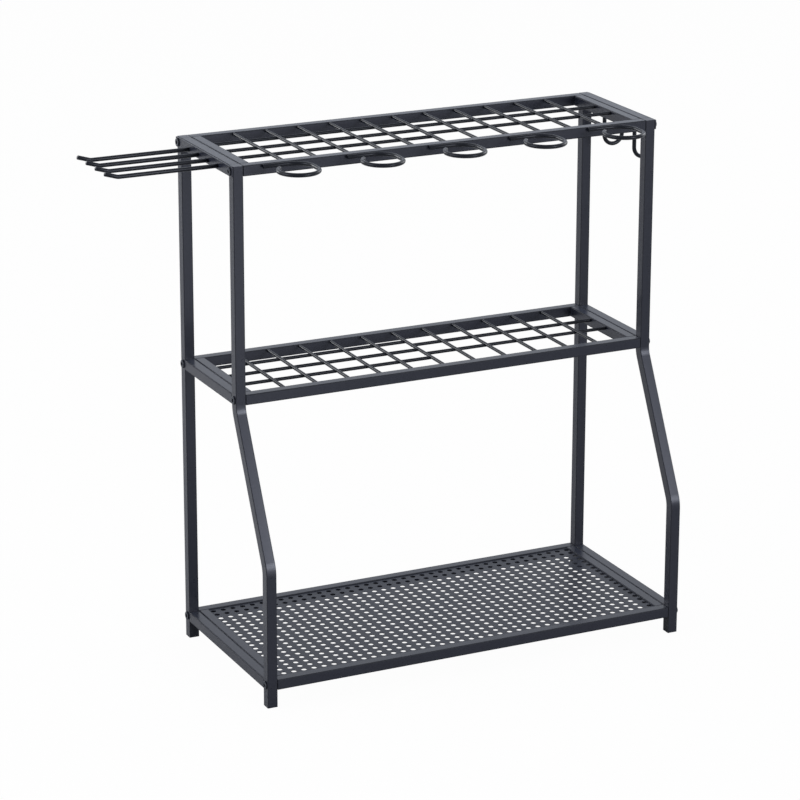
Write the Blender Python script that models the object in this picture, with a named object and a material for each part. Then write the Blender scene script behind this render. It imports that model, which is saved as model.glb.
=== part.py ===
"""Tool storage rack.

Two end frames of square tube carry three tiers.  The upper two tiers are wire grids,
the lowest is a perforated panel.  Hook bars are bolted to both ends, and five wire
rings hang in front of the top tier.

Metres, +Z up.  The rack's own frame is centred between the end frames; an empty moves
it so that the origin lies under the middle of the overall box, hooks included.
"""

import math

import bmesh
import bpy
from mathutils import Vector

# Overall sizes
FRAME_WIDTH = 0.6548
LOWER_DEPTH = 0.3000
UPPER_DEPTH = 0.1999
RACK_HEIGHT = 0.7498

# Square tube
TUBE = 0.0150
TUBE_WALL = 0.0010
TUBE_CORNER = 0.0015
CORNER_STEPS = 2

# Heights of the tier tops
MIDDLE_TIER = 0.4250
BOTTOM_TIER = 0.0400

# Bends of the front legs, at the corners of the centre line
UPPER_BEND_BELOW_TIER = 0.0220
LOWER_BEND = 0.2010
LEG_BEND_RADIUS = 0.0300
LEG_BEND_STEPS = 5
LEG_TOP_PLATE = 0.0015

# Wire grids
ROD = 0.0050
ROD_SIDES = 8
GRID_CELLS_LONG = 12
LEFT_ROWS = 4
RIGHT_ROWS = 3
CROSS_ROD_DROP = 0.0026
LONG_ROD_DROP = 0.0038
LONG_ROW_PITCH_LEFT = 0.0425
LONG_ROW_PITCH_RIGHT = 0.0450

# Perforated panel
PANEL_DROP = 0.0015
PANEL_THICKNESS = 0.0010
HOLE_DIAMETER = 0.0080
HOLE_PITCH_X = 0.01542
HOLE_PITCH_Y = 0.01410
HOLE_STEP = 2
HOLE_SIDES = 6

# Hook bars
BAR_THICKNESS = 0.0020
BAR_HEIGHT = 0.0140
BAR_CORNER = 0.0025
BAR_CORNER_STEPS = 4
ROUND_PROFILE = 0.5

# Wire of the hooks and rings
WIRE = 0.0060
WIRE_SIDES = 8

# Straight hooks on the left bar
HOOK_REACH = 0.1648
HOOK_PITCH = 0.0346
HOOK_COUNT = 4
HOOK_DROP = 0.0088
HOOK_TIP_ANGLE = math.radians(17.0)
HOOK_TIP_RADIUS = 0.0120
HOOK_TIP_LENGTH = 0.0180
HOOK_TIP_STEPS = 4

# U hooks on the right bar
U_HOOK_TOP_DROP = 0.0048
U_HOOK_LENGTH = 0.0660
U_HOOK_RISE = 0.0310
U_HOOK_RADIUS = 0.0150
U_HOOK_STEPS = 10
U_HOOK_FRONT_OFFSET = 0.0334
U_HOOK_REAR_OFFSET = 0.0552

# Rings in front of the top tier
RING_DROP = 0.0031
RING_TAIL_FROM_END = 0.0425
RING_PITCH = 0.1253
RING_COUNT = 5
RING_CENTRE_FROM_TAIL = 0.0352
RING_CENTRE_OUT = 0.0428
RING_RADIUS = 0.0281
RING_NECK_RADIUS = 0.0270
RING_TURN = math.radians(212.0)
RING_NECK_STEPS = 5
RING_STEPS = 12

# Bolts and what they screw into
BOLT = 0.0060
BOLT_HEAD = 0.0120
BOLT_HEAD_HEIGHT = 0.0020
BOLT_SOCKET = 0.0046
BOLT_SOCKET_DEPTH = 0.0012
BOLT_LENGTH = 0.0300
BOLT_SIDES = 12
RAIL_BLOCK_LENGTH = 0.0200
FOOT_PLUG_LENGTH = 0.0100
CLEARANCE = 0.0003
SEAT = 0.00002

# Limits for merging points and for smooth shading
MERGE_DISTANCE = 1e-6
SMOOTH_ANGLE = math.radians(35.0)

# Derived places
HALF_WIDTH = FRAME_WIDTH / 2
INNER_WIDTH = HALF_WIDTH - TUBE
OPENING_X = INNER_WIDTH - SEAT - TUBE
REAR_Y = LOWER_DEPTH / 2
UPPER_FRONT_Y = REAR_Y - UPPER_DEPTH
LOWER_FRONT_Y = REAR_Y - LOWER_DEPTH
REAR_LEG_Y = REAR_Y - TUBE / 2
UPPER_LEG_Y = UPPER_FRONT_Y + TUBE / 2
UPPER_BEND = MIDDLE_TIER - UPPER_BEND_BELOW_TIER
LOWER_LEG_Y = LOWER_FRONT_Y + TUBE / 2
BAR_FACE = HALF_WIDTH + SEAT + BAR_THICKNESS
BAR_Z = RACK_HEIGHT - TUBE / 2
BAR_CENTRE_Y = REAR_Y - UPPER_DEPTH / 2
UPPER_SPAN = REAR_LEG_Y - UPPER_LEG_Y - TUBE - 2 * SEAT
LOWER_SPAN = REAR_LEG_Y - LOWER_LEG_Y - TUBE - 2 * SEAT
U_HOOK_X = BAR_FACE + SEAT + WIRE / 2
LEFT_REACH = BAR_FACE + SEAT + HOOK_REACH
RIGHT_REACH = U_HOOK_X + 2 * U_HOOK_RADIUS + WIRE / 2
FRAME_SHIFT_X = (LEFT_REACH - RIGHT_REACH) / 2

TIERS = {
    "top": (RACK_HEIGHT, UPPER_LEG_Y),
    "middle": (MIDDLE_TIER, UPPER_LEG_Y),
    "bottom": (BOTTOM_TIER, LOWER_LEG_Y),
}
SIDES = {"left": -1, "right": 1}

AXIS_X = Vector((1, 0, 0))
AXIS_Y = Vector((0, 1, 0))
AXIS_Z = Vector((0, 0, 1))


def clear_scene():
    """Remove whatever the scene starts with."""
    for obj in list(bpy.data.objects):
        bpy.data.objects.remove(obj, do_unlink=True)


def make_material(name, colour, roughness, metallic):
    """Principled material with one colour, roughness and metallic value."""
    material = bpy.data.materials.new(name)
    material.use_nodes = True
    shader = material.node_tree.nodes["Principled BSDF"]
    shader.inputs["Base Color"].default_value = (*colour, 1.0)
    shader.inputs["Roughness"].default_value = roughness
    shader.inputs["Metallic"].default_value = metallic
    return material


def make_mesh(name, bm, material, smooth=False):
    """Close a bmesh into a mesh with one material."""
    bmesh.ops.recalc_face_normals(bm, faces=bm.faces)
    mesh = bpy.data.meshes.new(name)
    bm.to_mesh(mesh)
    bm.free()
    mesh.materials.append(material)
    if smooth:
        mesh.shade_smooth()
        mesh.set_sharp_from_angle(angle=SMOOTH_ANGLE)
    return mesh


def place(name, mesh, parent, location=(0, 0, 0), turn=0.0):
    """Object of a mesh under the rack's empty, turned about the vertical."""
    obj = bpy.data.objects.new(name, mesh)
    bpy.context.scene.collection.objects.link(obj)
    obj.parent = parent
    obj.location = location
    obj.rotation_euler = (0, 0, turn)
    return obj


def hide_guide(obj):
    """Keep a cutter out of the picture."""
    obj.display_type = "WIRE"
    obj.hide_render = True


def cut(obj, cutter):
    """Subtract a cutter from an object."""
    boolean = obj.modifiers.new("cut", "BOOLEAN")
    boolean.operation = "DIFFERENCE"
    boolean.solver = "EXACT"
    boolean.object = cutter


def join(obj, other):
    """Weld a second shape to an object."""
    boolean = obj.modifiers.new("join", "BOOLEAN")
    boolean.operation = "UNION"
    boolean.solver = "EXACT"
    boolean.object = other


def round_points(diameter, sides):
    """Regular polygon with a flat side towards the first axis."""
    points = []
    for k in range(sides):
        angle = 2 * math.pi * (k + 0.5) / sides
        points.append((diameter / 2 * math.cos(angle), diameter / 2 * math.sin(angle)))
    return points


def rod_points(diameter, sides):
    """Polygon as wide across its flats as the rod is thick."""
    return round_points(diameter / math.cos(math.pi / sides), sides)


def square_points(size):
    """Plain square."""
    half = size / 2
    return [(half, half), (-half, half), (-half, -half), (half, -half)]


def tube_points():
    """Square with rounded corners, the outside of the tube."""
    inset = TUBE / 2 - TUBE_CORNER
    points = []
    for quarter, (sign_a, sign_b) in enumerate(((1, 1), (-1, 1), (-1, -1), (1, -1))):
        for k in range(CORNER_STEPS + 1):
            angle = math.pi / 2 * (quarter + k / CORNER_STEPS)
            points.append((
                sign_a * inset + TUBE_CORNER * math.cos(angle),
                sign_b * inset + TUBE_CORNER * math.sin(angle),
            ))
    return points


def section(bm, points, origin, across, up):
    """Closed loop of edges laid out on two axes."""
    verts = [bm.verts.new(origin + across * a + up * b) for a, b in points]
    return [bm.edges.new((verts[i - 1], verts[i])) for i in range(len(verts))]


def run(bm, edges, step):
    """Extrude loops along a straight line."""
    geometry = bmesh.ops.extrude_edge_only(bm, edges=edges)["geom"]
    verts = [item for item in geometry if isinstance(item, bmesh.types.BMVert)]
    bmesh.ops.translate(bm, verts=verts, vec=step)
    moved = set(verts)
    ends = [item for item in geometry if isinstance(item, bmesh.types.BMEdge)]
    return [edge for edge in ends if edge.verts[0] in moved and edge.verts[1] in moved]


def bend(bm, edges, centre, axis, angle, steps):
    """Sweep loops round a centre."""
    verts = {vert for edge in edges for vert in edge.verts}
    spun = bmesh.ops.spin(
        bm,
        geom=list(verts) + edges,
        cent=centre,
        axis=axis,
        dvec=(0, 0, 0),
        angle=angle,
        steps=steps,
        use_duplicate=False,
    )
    return [item for item in spun["geom_last"] if isinstance(item, bmesh.types.BMEdge)]


def cap(bm, edges):
    """Fill one loop with a face."""
    bmesh.ops.edgeloop_fill(bm, edges=edges)


def rim(bm, outer, inner):
    """Fill the flat band between two loops, one inside the other."""
    bmesh.ops.triangle_fill(bm, edges=outer + inner, use_beauty=True)


def straight_tube(name, length, along, across, material):
    """Open tube centred on the origin."""
    bm = bmesh.new()
    start = along * (-length / 2)
    outer = section(bm, tube_points(), start, across, AXIS_Z)
    inner = section(bm, square_points(TUBE - 2 * TUBE_WALL), start, across, AXIS_Z)
    rim(bm, outer, inner)
    outer_end = run(bm, outer, along * length)
    inner_end = run(bm, inner, along * length)
    rim(bm, outer_end, inner_end)
    return make_mesh(name, bm, material, smooth=True)


def long_rail_mesh(material):
    """Rail along X with a bored block welded into each end."""
    bm = bmesh.new()
    depth = Vector((RAIL_BLOCK_LENGTH, 0, 0))
    end = Vector((INNER_WIDTH - SEAT, 0, 0))
    bore_points = round_points(BOLT + 2 * CLEARANCE, BOLT_SIDES)
    inner_points = square_points(TUBE - 2 * TUBE_WALL)

    outer = section(bm, tube_points(), -end, AXIS_Y, AXIS_Z)
    bore = section(bm, bore_points, -end, AXIS_Y, AXIS_Z)
    rim(bm, outer, bore)
    outer = run(bm, outer, end * 2)
    bore = run(bm, bore, depth)
    inner = section(bm, inner_points, depth - end, AXIS_Y, AXIS_Z)
    rim(bm, inner, bore)
    inner = run(bm, inner, (end - depth) * 2)
    bore = section(bm, bore_points, end - depth, AXIS_Y, AXIS_Z)
    rim(bm, inner, bore)
    bore = run(bm, bore, depth)
    rim(bm, outer, bore)
    return make_mesh("long_rail", bm, material, smooth=True)


def rear_leg_mesh(material):
    """Straight leg, closed at the top and open at the foot."""
    bm = bmesh.new()
    top = AXIS_Z * RACK_HEIGHT
    under_top = AXIS_Z * (RACK_HEIGHT - LEG_TOP_PLATE)
    outer = section(bm, tube_points(), top, AXIS_X, AXIS_Y)
    inner = section(bm, square_points(TUBE - 2 * TUBE_WALL), under_top, AXIS_X, AXIS_Y)
    cap(bm, outer)
    cap(bm, inner)
    outer_end = run(bm, outer, -top)
    inner_end = run(bm, inner, -under_top)
    rim(bm, outer_end, inner_end)
    return make_mesh("rear_leg", bm, material, smooth=True)


def front_leg_mesh(material):
    """Leg with two bends, from the shallow top down to the deep base."""
    step_back = UPPER_LEG_Y - LOWER_LEG_Y
    drop = UPPER_BEND - LOWER_BEND
    angle = math.atan2(step_back, drop)
    tangent = LEG_BEND_RADIUS * math.tan(angle / 2)
    slant = Vector((0, -math.sin(angle), -math.cos(angle)))
    slant_length = math.hypot(step_back, drop) - 2 * tangent

    bm = bmesh.new()
    origin = Vector((0, UPPER_LEG_Y, 0))
    outer = section(bm, tube_points(), origin + AXIS_Z * RACK_HEIGHT, AXIS_X, AXIS_Y)
    inner_top = RACK_HEIGHT - LEG_TOP_PLATE
    inner_points = square_points(TUBE - 2 * TUBE_WALL)
    inner = section(bm, inner_points, origin + AXIS_Z * inner_top, AXIS_X, AXIS_Y)
    cap(bm, outer)
    cap(bm, inner)
    first_bend = UPPER_BEND + tangent
    outer = run(bm, outer, AXIS_Z * (first_bend - RACK_HEIGHT))
    inner = run(bm, inner, AXIS_Z * (first_bend - inner_top))

    centre = Vector((0, UPPER_LEG_Y - LEG_BEND_RADIUS, first_bend))
    outer = bend(bm, outer, centre, AXIS_X, -angle, LEG_BEND_STEPS)
    inner = bend(bm, inner, centre, AXIS_X, -angle, LEG_BEND_STEPS)
    outer = run(bm, outer, slant * slant_length)
    inner = run(bm, inner, slant * slant_length)

    last_bend = LOWER_BEND - tangent
    centre = Vector((0, LOWER_LEG_Y + LEG_BEND_RADIUS, last_bend))
    outer = bend(bm, outer, centre, AXIS_X, angle, LEG_BEND_STEPS)
    inner = bend(bm, inner, centre, AXIS_X, angle, LEG_BEND_STEPS)
    outer = run(bm, outer, AXIS_Z * -last_bend)
    inner = run(bm, inner, AXIS_Z * -last_bend)
    rim(bm, outer, inner)
    return make_mesh("front_leg", bm, material, smooth=True)


def foot_plug_mesh(material):
    """Square plug for the open foot of a leg."""
    bm = bmesh.new()
    size = TUBE - 2 * TUBE_WALL - 2 * SEAT
    foot = section(bm, square_points(size), Vector((0, 0, 0)), AXIS_X, AXIS_Y)
    cap(bm, foot)
    cap(bm, run(bm, foot, AXIS_Z * FOOT_PLUG_LENGTH))
    return make_mesh("foot_plug", bm, material)


def bolt_mesh(material):
    """Bolt along +X, its head's seat at the origin and its shank behind it."""
    profile = (
        (-BOLT_LENGTH, 0),
        (-BOLT_LENGTH, BOLT / 2),
        (0, BOLT / 2),
        (0, BOLT_HEAD / 2),
        (BOLT_HEAD_HEIGHT, BOLT_HEAD / 2),
        (BOLT_HEAD_HEIGHT, BOLT_SOCKET / 2),
        (BOLT_HEAD_HEIGHT - BOLT_SOCKET_DEPTH, BOLT_SOCKET / 2),
        (BOLT_HEAD_HEIGHT - BOLT_SOCKET_DEPTH, 0),
    )
    bm = bmesh.new()
    verts = [bm.verts.new((x, 0, radius)) for x, radius in profile]
    edges = [bm.edges.new(pair) for pair in zip(verts, verts[1:])]
    bmesh.ops.spin(
        bm,
        geom=verts + edges,
        cent=(0, 0, 0),
        axis=AXIS_X,
        dvec=(0, 0, 0),
        angle=2 * math.pi,
        steps=BOLT_SIDES,
        use_duplicate=False,
    )
    bmesh.ops.remove_doubles(bm, verts=bm.verts, dist=MERGE_DISTANCE)
    return make_mesh("bolt", bm, material, smooth=True)


def rods_mesh(name, rods, along, diameter, material):
    """Straight round rods, each given by its middle and its length."""
    bm = bmesh.new()
    across = AXIS_X if along == AXIS_Y else AXIS_Y
    for middle, length in rods:
        start = section(
            bm, rod_points(diameter, ROD_SIDES), middle - along * (length / 2), across, AXIS_Z
        )
        end = run(bm, start, along * length)
        cap(bm, start)
        cap(bm, end)
    return make_mesh(name, bm, material, smooth=True)


def panel_mesh(material):
    """Sheet made as a flat net of cells with one hole each; its top lies at z = 0."""
    edge_x = OPENING_X - SEAT
    edge_y = LOWER_SPAN / 2
    holes_x = 1 + math.floor((2 * edge_x - HOLE_DIAMETER) / HOLE_PITCH_X)
    holes_y = 1 + math.floor((2 * edge_y - HOLE_DIAMETER) / HOLE_PITCH_Y)
    columns = holes_x // HOLE_STEP
    rows = holes_y // HOLE_STEP
    cell_x = HOLE_PITCH_X * HOLE_STEP
    cell_y = HOLE_PITCH_Y * HOLE_STEP

    bm = bmesh.new()
    bmesh.ops.create_grid(bm, x_segments=columns, y_segments=rows, size=1.0)
    bmesh.ops.scale(bm, verts=bm.verts, vec=(columns * cell_x / 2, rows * cell_y / 2, 1))
    cells = [(face, face.calc_center_median(), list(face.edges)) for face in bm.faces]
    bmesh.ops.delete(bm, geom=[face for face, _, _ in cells], context="FACES_ONLY")
    for _, centre, cell_edges in cells:
        hole = section(bm, round_points(HOLE_DIAMETER, HOLE_SIDES), centre, AXIS_X, AXIS_Y)
        rim(bm, cell_edges, hole)
    reach_x = columns * cell_x / 2
    reach_y = rows * cell_y / 2
    for vert in bm.verts:
        if abs(vert.co.x) > reach_x - CLEARANCE:
            vert.co.x = math.copysign(edge_x, vert.co.x)
        if abs(vert.co.y) > reach_y - CLEARANCE:
            vert.co.y = math.copysign(edge_y, vert.co.y)
    sheet = bmesh.ops.extrude_face_region(bm, geom=list(bm.faces), use_keep_orig=True)
    underside = [item for item in sheet["geom"] if isinstance(item, bmesh.types.BMVert)]
    bmesh.ops.translate(bm, verts=underside, vec=AXIS_Z * -PANEL_THICKNESS)
    return make_mesh("panel", bm, material)


def bar_mesh(material):
    """Flat bar with rounded corners, lying along the end of the top tier."""
    bm = bmesh.new()
    bmesh.ops.create_cube(bm, size=1.0)
    bmesh.ops.scale(bm, verts=bm.verts, vec=(BAR_THICKNESS, UPPER_DEPTH, BAR_HEIGHT))
    corners = [
        edge for edge in bm.edges
        if abs(edge.verts[0].co.x - edge.verts[1].co.x) > BAR_THICKNESS / 2
    ]
    bmesh.ops.bevel(
        bm,
        geom=corners,
        offset=BAR_CORNER,
        segments=BAR_CORNER_STEPS,
        profile=ROUND_PROFILE,
        affect="EDGES",
    )
    return make_mesh("hook_bar", bm, material)


def straight_hook_mesh(material):
    """Rod that leaves the bar level and ends in a short raised tip, along -X."""
    angle = HOOK_TIP_ANGLE
    out = Vector((-math.cos(angle), 0, math.sin(angle)))
    end_lean = WIRE / 2 * math.sin(angle)
    tip_reach = HOOK_TIP_RADIUS * math.sin(angle) + HOOK_TIP_LENGTH * math.cos(angle)
    level = HOOK_REACH - tip_reach - end_lean

    bm = bmesh.new()
    root = section(bm, rod_points(WIRE, WIRE_SIDES), Vector((0, 0, 0)), AXIS_Y, AXIS_Z)
    cap(bm, root)
    loop = run(bm, root, AXIS_X * -level)
    centre = Vector((-level, 0, HOOK_TIP_RADIUS))
    loop = bend(bm, loop, centre, AXIS_Y, angle, HOOK_TIP_STEPS)
    loop = run(bm, loop, out * HOOK_TIP_LENGTH)
    cap(bm, loop)
    return make_mesh("straight_hook", bm, material, smooth=True)


def u_hook_mesh(material):
    """Wire down the bar's face, round a half circle and up again; origin at its top."""
    arc_level = U_HOOK_RADIUS - U_HOOK_LENGTH
    bm = bmesh.new()
    root = Vector((0, 0, 0))
    loop = section(bm, rod_points(WIRE, WIRE_SIDES), root, AXIS_X, AXIS_Y)
    cap(bm, loop)
    loop = run(bm, loop, AXIS_Z * arc_level)
    centre = Vector((U_HOOK_RADIUS, 0, arc_level))
    loop = bend(bm, loop, centre, AXIS_Y, -math.pi, U_HOOK_STEPS)
    loop = run(bm, loop, AXIS_Z * (U_HOOK_RISE - U_HOOK_RADIUS))
    cap(bm, loop)
    return make_mesh("u_hook", bm, material, smooth=True)


def ring_mesh(material):
    """Tail along the rail, a neck that leaves it, and an open ring; level, origin at the tail."""
    right = RING_CENTRE_FROM_TAIL + RING_RADIUS
    tail = right - RING_NECK_RADIUS
    bm = bmesh.new()
    loop = section(bm, rod_points(WIRE, WIRE_SIDES), Vector((0, 0, 0)), AXIS_Y, AXIS_Z)
    cap(bm, loop)
    loop = run(bm, loop, AXIS_X * tail)
    centre = Vector((tail, -RING_NECK_RADIUS, 0))
    loop = bend(bm, loop, centre, AXIS_Z, -math.pi / 2, RING_NECK_STEPS)
    ring_y = WIRE / 2 - RING_CENTRE_OUT
    loop = run(bm, loop, AXIS_Y * (ring_y + RING_NECK_RADIUS))
    centre = Vector((RING_CENTRE_FROM_TAIL, ring_y, 0))
    loop = bend(bm, loop, centre, AXIS_Z, -RING_TURN, RING_STEPS)
    cap(bm, loop)
    return make_mesh("tool_ring", bm, material, smooth=True)


def build_end_frames(rack, coat, foot_plastic, bolt_holes):
    """Legs, the cross rails between them and the plugs in their feet."""
    rear_leg = rear_leg_mesh(coat)
    front_leg = front_leg_mesh(coat)
    upper_rail = straight_tube("upper_cross_rail", UPPER_SPAN, AXIS_Y, AXIS_X, coat)
    lower_rail = straight_tube("lower_cross_rail", LOWER_SPAN, AXIS_Y, AXIS_X, coat)
    foot = foot_plug_mesh(foot_plastic)
    for side, sign in SIDES.items():
        x = sign * (HALF_WIDTH - TUBE / 2)
        cut(place(f"{side}_front_leg", front_leg, rack, (x, 0, 0)), bolt_holes)
        cut(place(f"{side}_rear_leg", rear_leg, rack, (x, REAR_LEG_Y, 0)), bolt_holes)
        for tier, (top, front_y) in TIERS.items():
            mesh = lower_rail if tier == "bottom" else upper_rail
            middle_y = (front_y + REAR_LEG_Y) / 2
            place(f"{side}_{tier}_cross_rail", mesh, rack, (x, middle_y, top - TUBE / 2))
        for end, y in (("front", LOWER_LEG_Y), ("rear", REAR_LEG_Y)):
            place(f"{side}_{end}_foot_plug", foot, rack, (x, y, 0))


def build_tier_frames(rack, coat):
    """Long rails and end rails of each tier."""
    long_rail = long_rail_mesh(coat)
    upper_rail = straight_tube("upper_end_rail", UPPER_SPAN, AXIS_Y, AXIS_X, coat)
    lower_rail = straight_tube("lower_end_rail", LOWER_SPAN, AXIS_Y, AXIS_X, coat)
    for tier, (top, front_y) in TIERS.items():
        z = top - TUBE / 2
        place(f"{tier}_front_rail", long_rail, rack, (0, front_y, z))
        place(f"{tier}_rear_rail", long_rail, rack, (0, REAR_LEG_Y, z))
        mesh = lower_rail if tier == "bottom" else upper_rail
        middle_y = (front_y + REAR_LEG_Y) / 2
        for side, sign in SIDES.items():
            x = sign * (OPENING_X + TUBE / 2)
            place(f"{tier}_{side}_end_rail", mesh, rack, (x, middle_y, z))


def build_grids(rack, coat):
    """Welded nets of the upper two tiers: cross rods sunk into the long rods under them."""
    middle_y = (UPPER_LEG_Y + REAR_LEG_Y) / 2
    pitch = 2 * OPENING_X / GRID_CELLS_LONG
    for tier in ("top", "middle"):
        top = TIERS[tier][0]
        cross_z = top - CROSS_ROD_DROP
        long_z = top - LONG_ROD_DROP
        half = GRID_CELLS_LONG // 2
        middles = [Vector((k * pitch, middle_y, cross_z)) for k in range(1 - half, half)]
        cross = rods_mesh("wire_grid", [(m, UPPER_SPAN) for m in middles], AXIS_Y, ROD, coat)
        grid = place(f"{tier}_wire_grid", cross, rack)

        rods = []
        for rows, row_pitch, sign in (
            (LEFT_ROWS, LONG_ROW_PITCH_LEFT, -1),
            (RIGHT_ROWS, LONG_ROW_PITCH_RIGHT, 1),
        ):
            for k in range(rows - 1):
                y = middle_y + (k - (rows - 2) / 2) * row_pitch
                reach = OPENING_X - SEAT
                rods.append((Vector((sign * reach / 2, y, long_z)), reach))
        long_rods = place(
            f"{tier}_long_rods", rods_mesh("long_rods", rods, AXIS_X, ROD, coat), rack
        )
        hide_guide(long_rods)
        join(grid, long_rods)


def build_panel(rack, coat):
    """Perforated sheet inside the lowest tier."""
    level = BOTTOM_TIER - PANEL_DROP
    place("bottom_perforated_panel", panel_mesh(coat), rack, (0, 0, level))


def build_hook_bars(rack, coat, wire_coat, bolt_holes):
    """Bars on both ends with their hooks."""
    bar = bar_mesh(coat)
    for side, sign in SIDES.items():
        x = sign * (BAR_FACE - BAR_THICKNESS / 2)
        cut(place(f"{side}_hook_bar", bar, rack, (x, BAR_CENTRE_Y, BAR_Z)), bolt_holes)

    hook = straight_hook_mesh(wire_coat)
    for k in range(HOOK_COUNT):
        y = BAR_CENTRE_Y + (k - (HOOK_COUNT - 1) / 2) * HOOK_PITCH
        at = (-BAR_FACE - SEAT, y, RACK_HEIGHT - HOOK_DROP)
        place(f"straight_hook_{k + 1}", hook, rack, at)

    u_hook = u_hook_mesh(wire_coat)
    top = RACK_HEIGHT - U_HOOK_TOP_DROP
    front_y = BAR_CENTRE_Y - U_HOOK_FRONT_OFFSET
    rear_y = BAR_CENTRE_Y + U_HOOK_REAR_OFFSET
    place("u_hook_front", u_hook, rack, (U_HOOK_X, front_y, top))
    place("u_hook_rear", u_hook, rack, (U_HOOK_X, rear_y, top))


def build_rings(rack, wire_coat):
    """Rings whose tails lie on the front of the top tier's rail."""
    ring = ring_mesh(wire_coat)
    for k in range(RING_COUNT):
        x = RING_TAIL_FROM_END - HALF_WIDTH + k * RING_PITCH
        at = (x, UPPER_FRONT_Y - SEAT - WIRE / 2, RACK_HEIGHT - RING_DROP)
        place(f"tool_ring_{k + 1}", ring, rack, at)


def build_bolts(rack, black_steel):
    """Bolts through the legs into the long rails; the top ones also hold the bars."""
    bolt = bolt_mesh(black_steel)
    for tier, (top, front_y) in TIERS.items():
        seat = BAR_FACE if tier == "top" else HALF_WIDTH
        for side, sign in SIDES.items():
            turn = 0.0 if sign > 0 else math.pi
            for end, y in (("front", front_y), ("rear", REAR_LEG_Y)):
                at = (sign * (seat + SEAT), y, top - TUBE / 2)
                place(f"bolt_{tier}_{side}_{end}", bolt, rack, at, turn)


def build_bolt_holes(rack, coat):
    """Cutter for every bolt hole, one long rod for each pair of legs and tier."""
    rods = []
    for top, front_y in TIERS.values():
        for y in (front_y, REAR_LEG_Y):
            middle = Vector((0, y, top - TUBE / 2))
            rods.append((middle, 2 * (BAR_FACE + BAR_THICKNESS)))
    bm = bmesh.new()
    for middle, length in rods:
        start = section(
            bm,
            round_points(BOLT + 2 * CLEARANCE, BOLT_SIDES),
            middle - AXIS_X * (length / 2),
            AXIS_Y,
            AXIS_Z,
        )
        end = run(bm, start, AXIS_X * length)
        cap(bm, start)
        cap(bm, end)
    cutter = place("bolt_holes", make_mesh("bolt_holes", bm, coat), rack)
    hide_guide(cutter)
    return cutter


def main():
    clear_scene()
    rack = bpy.data.objects.new("rack", None)
    bpy.context.scene.collection.objects.link(rack)
    rack.location = (FRAME_SHIFT_X, 0, 0)

    tube_coat = make_material("tube_powder_coat", (0.045, 0.047, 0.054), 0.38, 0.0)
    grid_coat = make_material("grid_powder_coat", (0.032, 0.033, 0.037), 0.36, 0.0)
    panel_coat = make_material("panel_powder_coat", (0.040, 0.041, 0.047), 0.42, 0.0)
    bar_coat = make_material("bar_powder_coat", (0.042, 0.044, 0.050), 0.38, 0.0)
    wire_coat = make_material("wire_powder_coat", (0.036, 0.037, 0.042), 0.34, 0.0)
    bolt_steel = make_material("black_bolt_steel", (0.030, 0.030, 0.034), 0.40, 0.6)
    foot_plastic = make_material("foot_plastic", (0.020, 0.020, 0.022), 0.55, 0.0)

    bolt_holes = build_bolt_holes(rack, tube_coat)
    build_end_frames(rack, tube_coat, foot_plastic, bolt_holes)
    build_tier_frames(rack, tube_coat)
    build_grids(rack, grid_coat)
    build_panel(rack, panel_coat)
    build_hook_bars(rack, bar_coat, wire_coat, bolt_holes)
    build_rings(rack, wire_coat)
    build_bolts(rack, bolt_steel)


main()
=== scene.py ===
"""Tool storage rack of coated square tube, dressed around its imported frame.

Two welded end frames carry three tiers: two wire grids over a perforated shelf.
Hook bars are bolted to both ends, and five rings hang in front of the top tier.
Metres, +Z up, front towards -Y.
"""

import math

import bmesh
import bpy
from bpy.props import FloatProperty, FloatVectorProperty, IntProperty, PointerProperty
from mathutils import Matrix, Vector


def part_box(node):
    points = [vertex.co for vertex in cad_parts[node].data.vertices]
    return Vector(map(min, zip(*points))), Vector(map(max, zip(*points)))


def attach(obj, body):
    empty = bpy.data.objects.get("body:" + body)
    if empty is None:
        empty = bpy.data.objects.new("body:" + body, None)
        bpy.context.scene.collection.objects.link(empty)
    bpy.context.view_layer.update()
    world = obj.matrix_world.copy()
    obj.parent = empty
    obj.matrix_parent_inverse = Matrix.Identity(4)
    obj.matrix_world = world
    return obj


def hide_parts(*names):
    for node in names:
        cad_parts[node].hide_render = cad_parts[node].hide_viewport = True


bl_info = {
    "name": "Tool Storage Rack",
    "version": (1, 0, 0),
    "blender": (4, 5, 0),
    "location": "View3D > Sidebar > Rack",
    "description": "Steel rack with wire grids, a perforated shelf, hooks and tool rings",
    "category": "Object",
}

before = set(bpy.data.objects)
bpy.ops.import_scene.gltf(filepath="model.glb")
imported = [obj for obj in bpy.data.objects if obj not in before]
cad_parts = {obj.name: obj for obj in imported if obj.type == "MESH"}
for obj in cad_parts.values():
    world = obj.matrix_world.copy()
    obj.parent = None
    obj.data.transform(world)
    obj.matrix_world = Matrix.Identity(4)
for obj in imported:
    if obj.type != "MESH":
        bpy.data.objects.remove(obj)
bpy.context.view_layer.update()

TIERS = ("top", "middle", "bottom")
SIDES = ("left", "right")
X, Y, Z = 0, 1, 2
FACING = {
    X: (0.0, math.radians(90.0), 0.0),
    Y: (math.radians(90.0), 0.0, 0.0),
    Z: (0.0, 0.0, 0.0),
}

# Points nearer than this are one point
MERGE = 1e-6
# Taken off a box's sides, so that rounding keeps the piece inside its node's box
HAIR = 4e-7
# Reach of the tests for the shelf's cells and outer edges
CELL_MERGE = 1e-4
EDGE_REACH = 1e-5

# Segments of the bevels, steps of the bends and sides of the round sections
CORNER_SEGMENTS = 4
BAR_SEGMENTS = 6
RIM_SEGMENTS = 2
LEG_BEND_STEPS = 10
TIP_BEND_STEPS = 6
U_BEND_STEPS = 20
NECK_STEPS = 14
RING_STEPS = 36
ROD_SIDES = 16
HOLE_SIDES = 16
WIRE_SIDES = 24
BOLT_SIDES = 32
BEAD_SIDES = 8
NUGGET_SEGMENTS = 12
NUGGET_RINGS = 6
ROUND_PROFILE = 0.5

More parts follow.
